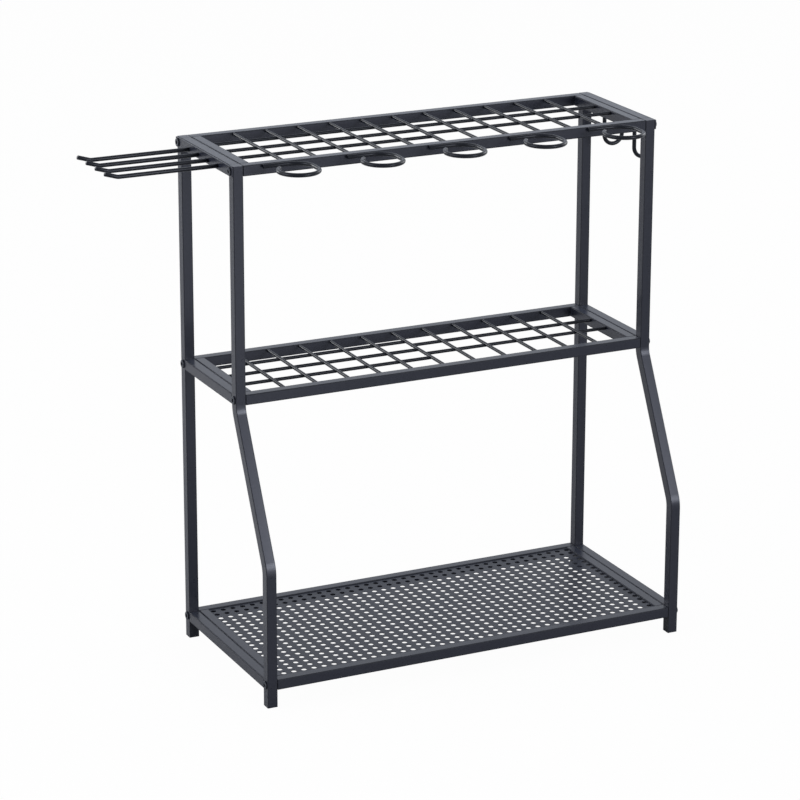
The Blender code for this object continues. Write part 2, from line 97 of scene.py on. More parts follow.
# Least turn of a sharp edge in radians, and highest normal of a face that looks down
SHARP_TURN = 1.0
DOWN = -0.9
# Angles in degrees over which an edge stays sharp
FORMED_SHARP = 35.0
JOINED_SHARP = 40.0
BEAD_SHARP = 60.0
# How far a rounded corner's normal leans along an axis
CORNER_LEAN = (0.05, 0.97)

# Trim in metres
FINE_RIM = 0.0003
WIRE_END = 0.0005
PLUG_LIP = 0.0016
PLUG_RECESS = 0.0012
SHANK_RADIUS = 0.0030
# A bolt's head from its undercut seat to its face: height, inset from the rim
HEAD_PROFILE = (
    (0.0, 0.0014),
    (0.0006, 0.0014),
    (0.0006, 0.0),
    (0.0014, 0.0),
    (0.0018, 0.0003),
    (0.0020, 0.0008),
)
HEAD_HEIGHT = HEAD_PROFILE[-1][0]

# Weld beads: lengths in metres, then shares of the bead, wire, rod or tube corner
RIPPLE = 0.0016
RING_BEAD = 0.0080
RING_BEAD_STARTS = (0.0020, 0.0240)
HOOK_BEAD_FOOT = 0.0010
HOOK_BEAD_HEAD = 0.0015
FEWEST_RIPPLES = 3
BEAD_END = 0.55
BEAD_TROUGH = 0.82
RING_BEAD_RISE = 0.12
HOOK_BEAD_TUCK = 0.1
END_BEAD_MARGIN = 1.5
NUGGET_RADIUS = 0.66
NUGGET_FLATNESS = 0.55

# Noise of the finishes: scale and detail
CLOUD = (9.0, 3.0)
MOTTLE = (130.0, 3.0)
SCUFF = (160.0, 4.0)
RUB = (420.0, 3.0)
PEEL = (760.0, 1.5)
MOULD_GRAIN = (1900.0, 2.0)
POWDER_GRAIN = (2600.0, 1.0)
TURNED_GRAIN = (3200.0, 2.0)
# Share of the plain colour that is left under painted shade: in the coat's rounded corners and
# seams, and on a bolt's flank, seat and socket
CORNER_SHADE_SHARE = 0.4
FLANK_SHADE_SHARE = 0.1
COOL_SPECULAR = (0.82, 0.86, 1.0, 1.0)
SHEEN_TINT = (0.25, 0.50, 1.0, 1.0)

# Stage: name, place, power in watts, width and height of each lamp
LAMPS = (
    ("key", (-3.2, 0.2, 1.8), 64.0, 2.2, 2.2),
    ("front", (2.9, -6.0, 2.2), 205.0, 1.6, 2.4),
    ("low", (0.12, -1.3, 0.20), 1.1, 0.5, 0.5),
    ("back", (-3.0, 6.0, 2.2), 130.0, 2.4, 2.4),
    ("right", (4.8, 1.2, 2.0), 80.0, 2.4, 2.4),
)
LAMP_AIM = (0.0, 0.0, 0.35)
FLOOR_SIDE = 60.0
FLOOR_GREY = (0.90, 0.90, 0.90, 1.0)
# Share of the camera's view of the floor that is plain white, the rest being lit
FLOOR_WHITE = 0.97
WHITE = (1.0, 1.0, 1.0, 1.0)
COOL_SKY = (0.91, 0.94, 1.0, 1.0)
# Strength of the sky as a lamp; seen or reflected it is 1
SKY_LIGHT = 0.28
CAMERA_PLACE = (-1.9055, -3.9569, 1.8067)
# Azimuth, elevation and roll in degrees
CAMERA_TURN = (-25.848, 16.718, 0.133)
SENSOR_MM = 36.0
LENS_MM = 145.78
LENS_SHIFT = -0.1


class RackSizes(bpy.types.PropertyGroup):
    """Sizes of the sections and of the repeated forms."""

    tube_corner: FloatProperty(
        name="Tube corner",
        description="Outside corner radius of the square tube",
        default=0.0011,
        unit="LENGTH",
    )
    seam: FloatProperty(
        name="Seam",
        description="Gap between a tier frame and the end frames it is bolted to",
        default=0.0005,
        unit="LENGTH",
    )
    end_rim: FloatProperty(
        name="End rim",
        description="Rounding of the rims at the rails' ends and the legs' tops",
        default=0.0004,
        unit="LENGTH",
    )
    tube_wall: FloatProperty(
        name="Tube wall",
        description="Wall of the square tube, seen at the feet",
        default=0.0010,
        unit="LENGTH",
    )
    bend_radius: FloatProperty(
        name="Leg bend radius",
        description="Radius of the front legs' bends, at the tube's middle",
        default=0.0400,
        unit="LENGTH",
    )
    upper_bend: FloatProperty(
        name="Upper bend",
        description="Height of the front legs' upper bend",
        default=0.4030,
        unit="LENGTH",
    )
    lower_bend: FloatProperty(
        name="Lower bend",
        description="Height of the front legs' lower bend",
        default=0.2010,
        unit="LENGTH",
    )
    rod: FloatProperty(
        name="Grid rod",
        description="Thickness of the wire grids' rods",
        default=0.0050,
        unit="LENGTH",
    )
    cross_rods: IntProperty(
        name="Cross rods",
        description="Rods across the depth of each wire grid",
        default=11,
    )
    left_rows: IntProperty(
        name="Left rows",
        description="Long rods in the left half of each wire grid",
        default=3,
    )
    right_rows: IntProperty(
        name="Right rows",
        description="Long rods in the right half of each wire grid",
        default=2,
    )
    left_row_pitch: FloatProperty(
        name="Left row pitch",
        description="Distance between the long rods of the left half",
        default=0.0425,
        unit="LENGTH",
    )
    right_row_pitch: FloatProperty(
        name="Right row pitch",
        description="Distance between the long rods of the right half",
        default=0.0450,
        unit="LENGTH",
    )
    cross_rod_drop: FloatProperty(
        name="Cross rod drop",
        description="Middle of the cross rods below the tier's top",
        default=0.0026,
        unit="LENGTH",
    )
    long_rod_drop: FloatProperty(
        name="Long rod drop",
        description="Middle of the long rods below the tier's top",
        default=0.0038,
        unit="LENGTH",
    )
    hole: FloatProperty(
        name="Hole",
        description="Diameter of the shelf's holes",
        default=0.0080,
        unit="LENGTH",
    )
    hole_pitch_x: FloatProperty(
        name="Hole pitch along",
        description="Distance between holes along the shelf",
        default=0.01542,
        unit="LENGTH",
    )
    hole_pitch_y: FloatProperty(
        name="Hole pitch across",
        description="Distance between holes across the shelf",
        default=0.01410,
        unit="LENGTH",
    )
    holes_x: IntProperty(
        name="Holes along",
        description="Holes in one row along the shelf",
        default=39,
    )
    holes_y: IntProperty(
        name="Holes across",
        description="Holes in one row across the shelf",
        default=19,
    )
    bar_corner: FloatProperty(
        name="Bar corner",
        description="Corner radius of the flat hook bars",
        default=0.0015,
        unit="LENGTH",
    )
    wire: FloatProperty(
        name="Wire",
        description="Thickness of the wire of the hooks and rings",
        default=0.0060,
        unit="LENGTH",
    )
    hook_tip_angle: FloatProperty(
        name="Hook tip angle",
        description="Rise of the straight hooks' tips",
        default=math.radians(17.0),
        unit="ROTATION",
    )
    hook_tip_radius: FloatProperty(
        name="Hook tip bend",
        description="Bend radius before the straight hooks' tips",
        default=0.0120,
        unit="LENGTH",
    )
    hook_tip_length: FloatProperty(
        name="Hook tip length",
        description="Straight length of the straight hooks' tips",
        default=0.0180,
        unit="LENGTH",
    )
    u_hook_radius: FloatProperty(
        name="U hook radius",
        description="Radius of the U hooks' half circle, at the wire's middle",
        default=0.0150,
        unit="LENGTH",
    )
    u_hook_rise: FloatProperty(
        name="U hook rise",
        description="Height of the U hooks' free end over the lowest point",
        default=0.0310,
        unit="LENGTH",
    )
    ring_radius: FloatProperty(
        name="Ring radius",
        description="Radius of the tool rings, at the wire's middle",
        default=0.0281,
        unit="LENGTH",
    )
    ring_neck: FloatProperty(
        name="Ring neck",
        description="Bend radius where a ring leaves the rail",
        default=0.0270,
        unit="LENGTH",
    )
    ring_turn: FloatProperty(
        name="Ring turn",
        description="How far each ring goes round",
        default=math.radians(230.0),
        unit="ROTATION",
    )
    ring_out: FloatProperty(
        name="Ring reach",
        description="Middle of a ring in front of the rail's face",
        default=0.0428,
        unit="LENGTH",
    )
    socket: FloatProperty(
        name="Bolt socket",
        description="Hexagon socket of the bolts, across its corners",
        default=0.0056,
        unit="LENGTH",
    )
    socket_depth: FloatProperty(
        name="Socket depth",
        description="Depth of the bolts' sockets",
        default=0.0012,
        unit="LENGTH",
    )
    weld: FloatProperty(
        name="Weld",
        description="Thickness of the weld beads under the coat",
        default=0.0018,
        unit="LENGTH",
    )


class RackFinishes(bpy.types.PropertyGroup):
    """Colours of the coats and of the parts without one."""

    tube: FloatVectorProperty(
        name="Tube coat",
        description="Colour of the coat on the tubes",
        default=(0.0105, 0.0116, 0.0184),
        subtype="COLOR",
    )
    grid: FloatVectorProperty(
        name="Grid coat",
        description="Colour of the coat on the wire grids",
        default=(0.0035, 0.0041, 0.0060),
        subtype="COLOR",
    )
    shelf: FloatVectorProperty(
        name="Shelf coat",
        description="Colour of the coat on the perforated shelf",
        default=(0.0090, 0.0100, 0.0160),
        subtype="COLOR",
    )
    wire: FloatVectorProperty(
        name="Wire coat",
        description="Colour of the coat on the hooks and rings",
        default=(0.0040, 0.0047, 0.0068),
        subtype="COLOR",
    )
    bolt: FloatVectorProperty(
        name="Bolt steel",
        description="Colour of the blackened bolts",
        default=(0.0130, 0.0165, 0.0250),
        subtype="COLOR",
    )
    foot: FloatVectorProperty(
        name="Foot plastic",
        description="Colour of the plugs in the feet",
        default=(0.0120, 0.0120, 0.0130),
        subtype="COLOR",
    )


class Value:
    """A socket's value; arithmetic on it adds Math nodes."""

    def __init__(self, graph, socket):
        self.graph = graph
        self.socket = socket

    def math(self, operation, first, second):
        return self.graph.add("ShaderNodeMath", {"operation": operation}, {0: first, 1: second})

    def __add__(self, other):
        return self.math("ADD", self, other)

    def __sub__(self, other):
        return self.math("SUBTRACT", self, other)

    def __mul__(self, other):
        return self.math("MULTIPLY", self, other)

    __radd__ = __add__


class Graph:
    """Node tree of one material or world."""

    def __init__(self, tree):
        self.tree = tree

    def add(self, kind, settings, inputs, output=0):
        """One node; returns the value of one of its outputs."""
        node = self.tree.nodes.new(kind)
        for name, value in settings.items():
            setattr(node, name, value)
        for name, value in inputs.items():
            self.feed(node.inputs[name], value)
        return Value(self, node.outputs[output])

    def feed(self, socket, value):
        """Give a socket a link or a plain value."""
        if isinstance(value, Value):
            self.tree.links.new(value.socket, socket)
        else:
            socket.default_value = value

    def place(self):
        """Point on the object."""
        return self.add("ShaderNodeTexCoord", {}, {}, "Object")

    def corner(self):
        """1 on the faces that mark() noted and 0 elsewhere."""
        return self.add("ShaderNodeAttribute", {"attribute_name": "corner"}, {}, "Fac")

    def noise(self, place, pattern):
        """Smooth noise between 0 and 1."""
        scale, detail = pattern
        settings = {"noise_dimensions": "3D"}
        inputs = {"Vector": place, "Scale": scale, "Detail": detail, "Roughness": 0.5}
        return self.add("ShaderNodeTexNoise", settings, inputs, "Fac")

    def blend(self, factor, first, second):
        """Colour between two others."""
        settings = {"data_type": "RGBA", "blend_type": "MIX"}
        return self.add("ShaderNodeMix", settings, {0: factor, 6: first, 7: second}, 2)

    def tint(self, colour, amount):
        """A fixed colour made lighter or darker by a value."""
        settings = {"operation": "SCALE"}
        return self.add("ShaderNodeVectorMath", settings, {0: colour, "Scale": amount})

    def bump(self, shader, strength, distance, height):
        """Relief on a shader's surface."""
        inputs = {"Strength": strength, "Distance": distance, "Height": height}
        self.feed(shader.inputs["Normal"], self.add("ShaderNodeBump", {}, inputs))


def new_material(name):
    """Material with its graph and its Principled shader."""
    material = bpy.data.materials.new(name)
    material.use_nodes = True
    shader = material.node_tree.nodes["Principled BSDF"]
    return material, Graph(material.node_tree), shader


def coat_material(name, colour, roughness, relief, ior=1.40):
    """Baked powder coat: cloudy tone, orange peel, fine grain, and rougher corners darkened with
    painted shade.
    """
    material, graph, shader = new_material(name)
    place = graph.place()
    corner = graph.corner()
    cloud = graph.noise(place, CLOUD)
    mottle = graph.noise(place, MOTTLE)
    grain = graph.noise(place, POWDER_GRAIN)
    peel = graph.noise(place, PEEL)

    shade = 0.72 + cloud * 0.28 + mottle * 0.20 + grain * 0.10
    plain = graph.tint(colour, shade)
    # Painted shade: the rounded corners and the rims at the seams between parts get a darker
    # colour, standing in for dark edge reflections and shade in the seams
    painted_corner_shade = graph.tint([channel * CORNER_SHADE_SHARE for channel in colour], shade)
    graph.feed(shader.inputs["Base Color"], graph.blend(corner, plain, painted_corner_shade))
    gloss = roughness - 0.06 + cloud * 0.05 + mottle * 0.07 + corner * 0.30
    graph.feed(shader.inputs["Roughness"], gloss)
    graph.bump(shader, 0.55, relief, peel + grain * 0.25)
    shader.inputs["IOR"].default_value = ior
    shader.inputs["Specular Tint"].default_value = COOL_SPECULAR
    shader.inputs["Sheen Weight"].default_value = 0.04
    shader.inputs["Sheen Roughness"].default_value = 0.35
    shader.inputs["Sheen Tint"].default_value = SHEEN_TINT
    return material


def steel_material(name, colour, roughness):
    """Blackened steel: a rubbed face, flanks and socket darkened with painted shade, turned grain.
    """
    material, graph, shader = new_material(name)
    place = graph.place()
    corner = graph.corner()
    rub = graph.noise(place, RUB)
    grain = graph.noise(place, TURNED_GRAIN)
    face = graph.tint(colour, 0.7 + rub * 0.6)
    # Painted shade: the flanks, seat and socket are darkened, standing in for the shade round and
    # inside the head
    flank = graph.tint([channel * FLANK_SHADE_SHARE for channel in colour], 0.8 + grain * 0.4)
    graph.feed(shader.inputs["Base Color"], graph.blend(corner, face, flank))
    graph.feed(shader.inputs["Roughness"], roughness + rub * 0.12 + corner * 0.2)
    graph.bump(shader, 0.4, 0.00003, grain)
    shader.inputs["IOR"].default_value = 1.38
    shader.inputs["Specular Tint"].default_value = COOL_SPECULAR
    return material


def plastic_material(name, colour, roughness):
    """Moulded plastic with a fine spark-eroded grain and scuffs."""
    material, graph, shader = new_material(name)
    place = graph.place()
    scuff = graph.noise(place, SCUFF)
    grain = graph.noise(place, MOULD_GRAIN)
    graph.feed(shader.inputs["Base Color"], graph.tint(colour, 0.8 + scuff * 0.5))
    graph.feed(shader.inputs["Roughness"], roughness + scuff * 0.2 - 0.1)
    graph.bump(shader, 0.5, 0.00005, grain)
    return material


# Maker of each slot's material, its colour among the finishes and its other settings
FINISHES = {
    "tube_coat": (coat_material, "tube", {"roughness": 0.29, "relief": 0.00003}),
    "bar_coat": (coat_material, "tube", {"roughness": 0.30, "relief": 0.00003}),
    "grid_coat": (coat_material, "grid", {"roughness": 0.34, "relief": 0.00002, "ior": 1.25}),
    "panel_coat": (coat_material, "shelf", {"roughness": 0.38, "relief": 0.00003, "ior": 1.33}),
    "wire_coat": (coat_material, "wire", {"roughness": 0.32, "relief": 0.00002, "ior": 1.30}),
    "bolt_steel": (steel_material, "bolt", {"roughness": 0.34}),
    "foot_plastic": (plastic_material, "foot", {"roughness": 0.55}),
}


def finish_of(slot):
    """Material of a slot of the record, made when it is first asked for."""
    name = f"rack_{slot}"
    if name in bpy.data.materials:
        return bpy.data.materials[name]
    make, colour, settings = FINISHES[slot]
    return make(name, list(getattr(bpy.context.scene.rack_finishes, colour)), **settings)


def deselect_all():
    """Object mode with nothing selected."""
    if bpy.context.mode != "OBJECT":
        bpy.ops.object.mode_set(mode="OBJECT")
    bpy.ops.object.select_all(action="DESELECT")


def select_everything():
    """Select all of the mesh that is open in edit mode."""
    bpy.ops.mesh.select_all(action="SELECT")


def activate(piece):
    """Select one piece alone."""
    deselect_all()
    piece.select_set(True)
    bpy.context.view_layer.objects.active = piece


def begin(name, primitive, **settings):
    """Add a primitive at its place and open it in edit mode, with all of it selected."""
    deselect_all()
    primitive(**settings)
    piece = bpy.context.active_object
    piece.name = name
    piece.data.name = name
    bpy.ops.object.transform_apply(location=True, rotation=True, scale=True)
    bpy.ops.object.mode_set(mode="EDIT")
    select_everything()
    return piece


def begin_block(node, size, middle):
    """Block of a size, named for its node."""
    return begin(
        f"fine_{node}", bpy.ops.mesh.primitive_cube_add, size=1.0, location=middle, scale=size
    )


def begin_circle(name, at, run, radius, sides):
    """Open circle square to an axis, ready to be drawn out."""
    return begin(
        name,
        bpy.ops.mesh.primitive_circle_add,
        vertices=sides,
        radius=radius,
        fill_type="NOTHING",
        location=at,
        rotation=FACING[run],
    )


def choose(piece, element, test):
    """Select the faces or edges that pass a test, and nothing else."""
    bpy.ops.mesh.select_mode(type=element)
    bpy.ops.mesh.select_all(action="DESELECT")
    shape = bmesh.from_edit_mesh(piece.data)
    found = [item for item in (shape.faces if element == "FACE" else shape.edges) if test(item)]
    if not found:
        raise RuntimeError(f"{piece.name}: nothing to select")
    for item in found:
        item.select_set(True)
    bmesh.update_edit_mesh(piece.data)


def at_level(axis, level, reach):
    """Test for edges that lie at a level of an axis."""
    return lambda edge: all(abs(vert.co[axis] - level) < reach for vert in edge.verts)


def choose_long_edges(piece, run, size):
    """Select a block's edges along an axis."""
    choose(
        piece, "EDGE", lambda edge: abs((edge.verts[0].co - edge.verts[1].co)[run]) > size[run] / 2
    )


def pull(step):
    """Extrude what is selected along a straight step."""
    bpy.ops.mesh.extrude_region_move(TRANSFORM_OT_translate={"value": tuple(step)})


def sweep(centre, axis, angle, steps):
    """Spin what is selected round a centre, right-handed about the axis."""
    bpy.ops.mesh.spin(steps=steps, angle=-angle, center=tuple(centre), axis=tuple(axis))


def swell(centre, scale):
    """Scale what is selected about a centre."""
    bpy.ops.transform.resize(value=tuple(scale), center_override=tuple(centre))


def round_off(width, segments, affect="EDGES"):
    """Bevel the selected edges, or the corners of an outline."""
    bpy.ops.mesh.bevel(
        offset=width,
        offset_type="OFFSET",
        segments=segments,
        profile=ROUND_PROFILE,
        affect=affect,
    )


def close_up(piece, end_radius=0.0):
    """Fill the open ends of a swept form and round their rims."""
    select_everything()
    bpy.ops.mesh.fill_holes(sides=0)
    if end_radius:
        choose(piece, "EDGE", lambda edge: any(len(face.verts) > 4 for face in edge.link_faces))
        round_off(end_radius, RIM_SEGMENTS)


def apply_modifier(piece, kind, **settings):
    """Add a modifier with its settings and apply it."""
    activate(piece)
    bpy.ops.object.modifier_add(type=kind)
    modifier = piece.modifiers[-1]
    for name, value in settings.items():
        setattr(modifier, name, value)
    bpy.ops.object.modifier_apply(modifier=modifier.name)


def row_of(piece, count, step, **settings):
    """Row of equal copies in one mesh."""
    apply_modifier(
        piece,
        "ARRAY",
        count=count,
        use_relative_offset=False,
        use_constant_offset=True,
        constant_offset_displace=step,
        **settings,
    )
    return piece


def smooth(piece, sharp=FORMED_SHARP, weighted=False):
    """Close the edit: merge doubles, turn faces outwards and shade by angle."""
    if bpy.context.mode != "EDIT_MESH":
        activate(piece)
        bpy.ops.object.mode_set(mode="EDIT")
    select_everything()
    bpy.ops.mesh.remove_doubles(threshold=MERGE)
    bpy.ops.mesh.normals_make_consistent(inside=False)
    activate(piece)
    bpy.ops.object.shade_smooth_by_angle(angle=math.radians(sharp))
    if weighted:
        apply_modifier(piece, "WEIGHTED_NORMAL", keep_sharp=True)


def mark_corners(piece, axes):
    """Note the rounded corners and rims, where the coat is rougher and darkened with painted
    shade: faces skew to the axes.
    """
    least, most = CORNER_LEAN
    mark(piece, lambda face: any(least < abs(face.normal[axis]) < most for axis in axes))


def mark(piece, test):
    """Store a 1 on the faces that pass a test and a 0 on the rest."""
    marks = [1.0 if test(face) else 0.0 for face in piece.data.polygons]
    layer = piece.data.attributes.new("corner", "FLOAT", "FACE")
    layer.data.foreach_set("value", marks)


def copy_of(piece, name, step):
    """Copy with its own mesh, moved by a step."""
    activate(piece)
    bpy.ops.object.duplicate(linked=False)
    twin = bpy.context.active_object
    twin.name = name
    twin.data.name = name
    bpy.ops.transform.translate(value=tuple(step))
    bpy.ops.object.transform_apply(location=True, rotation=False, scale=False)
    return twin


def merge_pieces(name, pieces):
    """Join pieces into one object."""
    deselect_all()
    for piece in pieces:
        piece.select_set(True)
    bpy.context.view_layer.objects.active = pieces[0]
    bpy.ops.object.join()
    pieces[0].name = name
    pieces[0].data.name = name
    return pieces[0]


def settle(piece, slot, node=None):
    """Give a piece its finish, its body and the node it stands for."""
    piece.data.materials.clear()
    piece.data.materials.append(finish_of(slot))
    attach(piece, "root")
    if node:
        piece.name = f"fine_{node}"
        piece.data.name = piece.name
        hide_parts(node)


def settle_copies(piece, node, others, slot):
    """Settle a node's piece and its copies at other nodes like it."""
    pieces = {node: piece}
    for other in others:
        pieces[other] = copy_of(piece, f"fine_{other}", middle_of(other) - middle_of(node))
    for each, copy in pieces.items():
        settle(copy, slot, each)


def middle_of(node):
    """Middle of a node's box."""
    low, high = (Vector(corner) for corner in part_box(node))
    return (low + high) / 2


def size_of(node):
    """Sides of a node's box."""
    low, high = (Vector(corner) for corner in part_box(node))
    return high - low


def tube_between(node, run, sizes, left=0.0, right=0.0):
    """Straight square tube in a node's box, less a gap at its left and right."""
    size = size_of(node) - Vector((left + right + HAIR, HAIR, HAIR))
    middle = middle_of(node) + Vector(((left - right) / 2, 0.0, 0.0))
    piece = begin_block(node, size, middle)
    choose_long_edges(piece, run, size)
    round_off(sizes.tube_corner, CORNER_SEGMENTS)
    reach = size[run] / 2 - MERGE
    choose(
        piece,
        "EDGE",
        lambda edge: all(abs(vert.co[run] - middle[run]) > reach for vert in edge.verts),
    )
    round_off(sizes.end_rim, RIM_SEGMENTS)
    smooth(piece, weighted=True)
    mark_corners(piece, (X, Y, Z))
    return piece


def leg_start(node, top_y, sizes):
    """Rounded square outline at a leg's top, ready to be drawn down."""
    low, high = (Vector(corner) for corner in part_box(node))
    piece = begin(
        f"fine_{node}",
        bpy.ops.mesh.primitive_plane_add,
        size=high.x - low.x - HAIR,
        location=((low.x + high.x) / 2, top_y, high.z),
    )
    round_off(sizes.tube_corner, CORNER_SEGMENTS, affect="VERTICES")
    select_everything()
    bpy.ops.mesh.delete(type="ONLY_FACE")
    select_everything()
    return piece


def leg_finish(piece, top, plug, sizes):
    """Close a leg's top with its welded plate and leave its foot open for the plug."""
    close_up(piece)
    bpy.ops.mesh.normals_make_consistent(inside=False)
    choose(piece, "FACE", lambda face: face.calc_center_median().z < MERGE)
    bpy.ops.mesh.inset(thickness=sizes.tube_wall)
    pull((0.0, 0.0, plug))
    choose(piece, "EDGE", at_level(Z, top, MERGE))
    round_off(sizes.end_rim, RIM_SEGMENTS)
    smooth(piece, weighted=True)
    mark_corners(piece, [X])
    return piece


def rear_leg(sizes, plug):
    """Straight rear leg of the left end frame."""
    node = "left_rear_leg"
    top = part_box(node)[1][Z]
    piece = leg_start(node, middle_of(node).y, sizes)
    pull((0.0, 0.0, -top))
    return leg_finish(piece, top, plug, sizes)


def front_leg(sizes, plug):
    """Front leg of the left end frame, with its two bends."""
    node = "left_front_leg"
    low, high = (Vector(corner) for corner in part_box(node))
    tube = high.x - low.x
    top_y = high.y - tube / 2
    foot_y = low.y + tube / 2
    radius = sizes.bend_radius
    angle = math.atan2(top_y - foot_y, sizes.upper_bend - sizes.lower_bend)
    tangent = radius * math.tan(angle / 2)
    first_bend = sizes.upper_bend + tangent
    last_bend = sizes.lower_bend - tangent
    slope = math.hypot(top_y - foot_y, sizes.upper_bend - sizes.lower_bend) - 2 * tangent
    piece = leg_start(node, top_y, sizes)
    pull((0.0, 0.0, first_bend - high.z))
    sweep((0.0, top_y - radius, first_bend), (1, 0, 0), -angle, LEG_BEND_STEPS)
    pull((0.0, -slope * math.sin(angle), -slope * math.cos(angle)))
    sweep((0.0, foot_y + radius, last_bend), (1, 0, 0), angle, LEG_BEND_STEPS)
    pull((0.0, 0.0, -last_bend))
    return leg_finish(piece, high.z, plug, sizes)


class RACK_OT_end_frames(bpy.types.Operator):
    """Legs, the cross rails between them and the plugs in their feet"""

    bl_idname = "rack.end_frames"
    bl_label = "End frames"

    def execute(self, context):
        sizes = context.scene.rack_sizes
        plug_length = size_of("left_rear_foot_plug").z
        for end, make in (("front", front_leg), ("rear", rear_leg)):
            leg = make(sizes, plug_length)
            settle_copies(leg, f"left_{end}_leg", [f"right_{end}_leg"], "tube_coat")
        for tier in TIERS:
            node = f"left_{tier}_cross_rail"
            rail = tube_between(node, Y, sizes)
            settle_copies(rail, node, [f"right_{tier}_cross_rail"], "tube_coat")
        self.foot_plugs()
        return {"FINISHED"}

    def foot_plugs(self):
        """Plug with a lip round its sunk sole, copied into each foot."""
        node = "left_front_foot_plug"
        plug = begin_block(node, size_of(node), middle_of(node))
        choose(plug, "FACE", lambda face: face.normal.z < DOWN)
        bpy.ops.mesh.inset(thickness=PLUG_LIP)
        pull((0.0, 0.0, PLUG_RECESS))
        choose(plug, "EDGE", lambda edge: edge.calc_face_angle(0.0) > SHARP_TURN)
        round_off(FINE_RIM, RIM_SEGMENTS)
        smooth(plug, weighted=True)
        others = [f"{leg}_foot_plug" for leg in ("left_rear", "right_front", "right_rear")]
        settle_copies(plug, node, others, "foot_plastic")


class RACK_OT_tier_frames(bpy.types.Operator):
    """Long rails and end rails of the three tiers"""

    bl_idname = "rack.tier_frames"
    bl_label = "Tier frames"

    def execute(self, context):
        sizes = context.scene.rack_sizes
        for tier in TIERS:
            for part, run, left, right in (
                ("front_rail", X, sizes.seam, sizes.seam),
                ("rear_rail", X, sizes.seam, sizes.seam),
                ("left_end_rail", Y, sizes.seam, 0.0),
                ("right_end_rail", Y, 0.0, sizes.seam),
            ):
                node = f"{tier}_{part}"
                settle(tube_between(node, run, sizes, left, right), "tube_coat", node)
        return {"FINISHED"}


def rod_between(name, start, end, run, diameter):
    """Round rod from one point to another along an axis."""
    piece = begin_circle(name, start, run, diameter / 2, ROD_SIDES)
    pull(Vector(end) - Vector(start))
    close_up(piece)
    deselect_all()
    return piece


class RACK_OT_wire_grids(bpy.types.Operator):
    """Welded wire grids of the upper two tiers"""

    bl_idname = "rack.wire_grids"
    bl_label = "Wire grids"

    def execute(self, context):
        sizes = context.scene.rack_sizes
        for tier in ("top", "middle"):
            self.grid(tier, sizes)
        return {"FINISHED"}

    def grid(self, tier, sizes):
        """Cross rods over three long rods on the left and two on the right."""
        node = f"{tier}_wire_grid"
        low, high = (Vector(corner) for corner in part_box(node))
        middle = (low + high) / 2
        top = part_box(f"{tier}_front_rail")[1][Z]
        pitch = (high.x - low.x) / (sizes.cross_rods + 1)
        first = low.x + pitch
        cross_z = top - sizes.cross_rod_drop
        long_z = top - sizes.long_rod_drop

        cross = rod_between(
            "cross_rods", (first, low.y, cross_z), (first, high.y, cross_z), Y, sizes.rod
        )
        parts = [row_of(cross, sizes.cross_rods, (pitch, 0.0, 0.0))]
        for rows, row_pitch, start, end in (
            (sizes.left_rows, sizes.left_row_pitch, low.x, middle.x),
            (sizes.right_rows, sizes.right_row_pitch, middle.x, high.x),
        ):
            y = middle.y - (rows - 1) / 2 * row_pitch
            rod = rod_between("long_rods", (start, y, long_z), (end, y, long_z), X, sizes.rod)
            parts.append(row_of(rod, rows, (0.0, row_pitch, 0.0)))
            crossing = Vector((start + pitch, y, (cross_z + long_z) / 2))
            parts.append(self.nuggets(crossing, rows, row_pitch, pitch, sizes))
        piece = merge_pieces(f"fine_{node}", parts)
        smooth(piece, sharp=JOINED_SHARP)
        settle(piece, "grid_coat", node)

    def nuggets(self, crossing, rows, row_pitch, pitch, sizes):
        """Resistance welds where the rods cross: a lens that fills the four corners."""
        nugget = begin(
            "nuggets",
            bpy.ops.mesh.primitive_uv_sphere_add,
            segments=NUGGET_SEGMENTS,
            ring_count=NUGGET_RINGS,
            radius=sizes.rod * NUGGET_RADIUS,
            location=crossing,
        )
        swell(crossing, (1.0, 1.0, NUGGET_FLATNESS))
        deselect_all()
        row_of(nugget, sizes.cross_rods // 2, (pitch, 0.0, 0.0))
        return row_of(nugget, rows, (0.0, row_pitch, 0.0))


